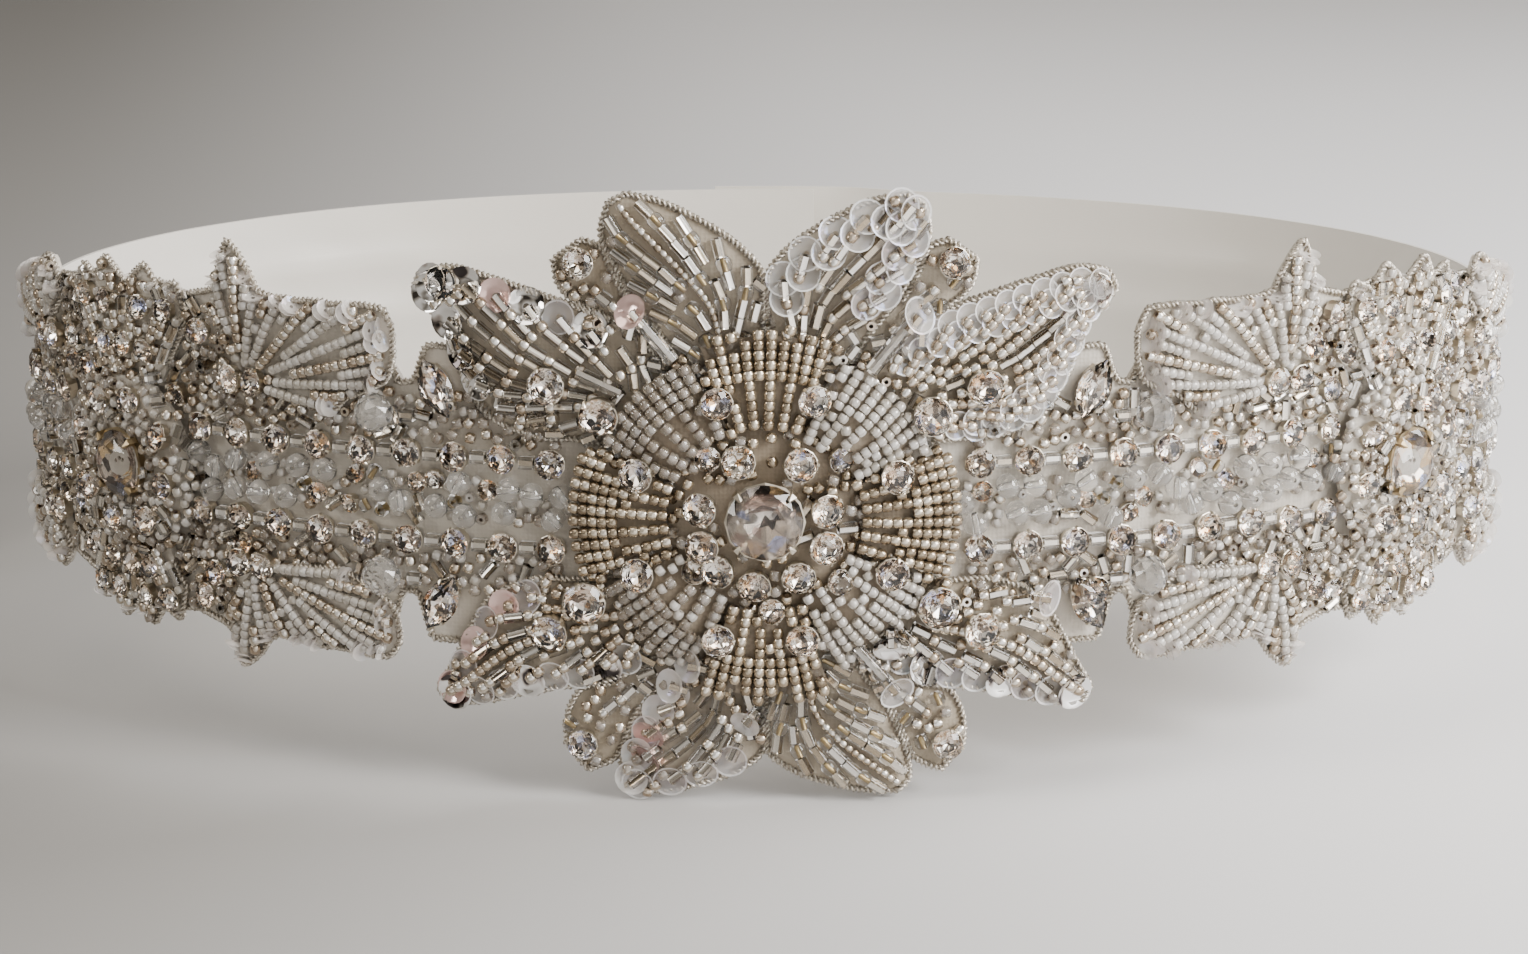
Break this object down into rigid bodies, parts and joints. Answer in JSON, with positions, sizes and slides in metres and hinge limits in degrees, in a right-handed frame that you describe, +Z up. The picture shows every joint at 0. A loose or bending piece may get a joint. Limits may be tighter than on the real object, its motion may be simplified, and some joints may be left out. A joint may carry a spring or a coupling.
{
  "type": "bridal sash",
  "caption": "Worn bridal sash: a beaded applique band with a large flower at the front and a rosette at each hip, closed behind by a lapped satin ribbon.",
  "frame": {"origin": "middle of the waist that the sash goes round, level with the middle of the flower", "axes": "+X to the right of a person facing the sash, +Z up, -Y out of the front of the waist"},
  "size_m": [0.26, 0.2013, 0.095],
  "materials": {
    "organza": "sheer, woven",
    "satin": "satin",
    "beadwork": "silver-lined and clear glass beads with sequins",
    "crystal": "cut, foiled",
    "silver_metal": "silver plated"
  },
  "bodies": {
    "root": {"applique_base": "organza", "bead_high_left": "crystal", "bead_high_right": "crystal", "bead_low_left": "crystal", "bead_low_right": "crystal", "centre_stone": "crystal", "chain_lower_left": "silver_metal", "chain_lower_right": "silver_metal", "chain_upper_left": "silver_metal", "chain_upper_right": "silver_metal", "crown_high_left": "beadwork", "crown_high_right": "beadwork", "crown_low_left": "beadwork", "crown_low_right": "beadwork", "fan_high_far_left": "beadwork", "fan_high_far_right": "beadwork", "fan_high_near_left": "beadwork", "fan_high_near_right": "beadwork", "fan_low_far_left": "beadwork", "fan_low_far_right": "beadwork", "fan_low_near_left": "beadwork", "fan_low_near_right": "beadwork", "flower_core": "beadwork", "inner_dome_1": "beadwork", "inner_dome_3": "beadwork", "inner_dome_5": "beadwork", "inner_dome_7": "beadwork", "inner_rows_0": "beadwork", "inner_rows_2": "beadwork", "inner_rows_4": "beadwork", "inner_rows_6": "beadwork", "lobe_high_left": "beadwork", "lobe_high_right": "beadwork", "lobe_low_left": "beadwork", "lobe_low_right": "beadwork", "navette_high_left": "crystal", "navette_high_right": "crystal", "navette_low_left": "crystal", "navette_low_right": "crystal", "petal_bottom_left": "beadwork", "petal_bottom_right": "beadwork", "petal_high_left": "beadwork", "petal_high_right": "beadwork", "petal_low_left": "beadwork", "petal_low_right": "beadwork", "petal_top_left": "beadwork", "petal_top_right": "beadwork", "ribbon_left": "satin", "ribbon_right": "satin", "rosette_ring_left": "beadwork", "rosette_ring_right": "beadwork", "rosette_stone_left": "crystal", "rosette_stone_right": "crystal", "snap_socket_1": "silver_metal", "snap_socket_2": "silver_metal", "snap_stud_1": "silver_metal", "snap_stud_2": "silver_metal", "trail_left": "crystal", "trail_right": "crystal"}
  },
  "joints": []
}
